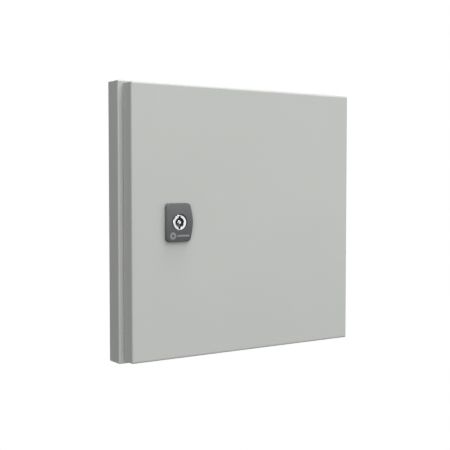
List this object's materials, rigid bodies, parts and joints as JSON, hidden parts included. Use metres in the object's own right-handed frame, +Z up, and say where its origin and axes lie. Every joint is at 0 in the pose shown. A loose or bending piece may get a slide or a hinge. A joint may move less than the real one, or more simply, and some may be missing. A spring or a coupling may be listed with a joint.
{
  "type": "wall-mounted electrical enclosure",
  "caption": "Shallow square sheet-steel wall enclosure with a rain gutter, one door on concealed hinges, a mounting plate and a quarter-turn double-bit lock.",
  "frame": {"origin": "centre of the back wall's rear face, where the box meets the wall", "axes": "+X towards the hinge side, +Y into the wall, +Z up; the door's front faces -Y"},
  "size_m": [0.304, 0.0496, 0.3016],
  "materials": {
    "painted_steel": "light-grey powder coat, fine texture, satin",
    "lock_plastic": "dark-grey glass-filled nylon, fine texture",
    "chrome": "bright nickel-chrome on zinc die casting",
    "die_cast_zinc": "satin die-cast zinc",
    "zinc_plated_steel": "blue-white zinc plate",
    "foam_gasket": "foamed-in-place polyurethane, matte black",
    "rubber": "moulded black rubber, matte"
  },
  "bodies": {
    "case": {"body_earth_nut": "zinc_plated_steel", "body_earth_stud": "zinc_plated_steel", "body_earth_washer": "zinc_plated_steel", "body_shell": "painted_steel", "cable_grommet_left": "rubber", "cable_grommet_right": "rubber", "hinge_bottom_body_leaf": "zinc_plated_steel", "hinge_bottom_pin": "zinc_plated_steel", "hinge_top_body_leaf": "zinc_plated_steel", "hinge_top_pin": "zinc_plated_steel", "lock_striker": "zinc_plated_steel", "mounting_plate": "zinc_plated_steel", "plate_nut_1": "zinc_plated_steel", "plate_nut_2": "zinc_plated_steel", "plate_nut_3": "zinc_plated_steel", "plate_nut_4": "zinc_plated_steel", "plate_stud_1": "zinc_plated_steel", "plate_stud_2": "zinc_plated_steel", "plate_stud_3": "zinc_plated_steel", "plate_stud_4": "zinc_plated_steel", "plate_washer_1": "zinc_plated_steel", "plate_washer_2": "zinc_plated_steel", "plate_washer_3": "zinc_plated_steel", "plate_washer_4": "zinc_plated_steel"},
    "door": {"door_earth_nut": "zinc_plated_steel", "door_earth_stud": "zinc_plated_steel", "door_earth_washer": "zinc_plated_steel", "door_gasket": "foam_gasket", "door_shell": "painted_steel", "hinge_bottom_door_leaf": "zinc_plated_steel", "hinge_top_door_leaf": "zinc_plated_steel", "lock_cover": "lock_plastic", "lock_housing": "die_cast_zinc", "lock_nut": "zinc_plated_steel", "lock_seal": "rubber"},
    "lock": {"lock_insert": "chrome", "lock_pin": "chrome", "lock_cam": "zinc_plated_steel", "lock_cam_washer": "zinc_plated_steel", "lock_cam_screw": "zinc_plated_steel"}
  },
  "joints": [
    {"name": "door_hinge", "type": "hinge", "parent": "case", "child": "door", "pos_m": [0.1425, -0.0304, 0], "axis": [0, 0, 1], "range_deg": [0, 100]},
    {"name": "lock_turn", "type": "hinge", "parent": "door", "child": "lock", "pos_m": [-0.0925, -0.044, 0], "axis": [0, -1, 0], "range_deg": [0, 90]}
  ]
}
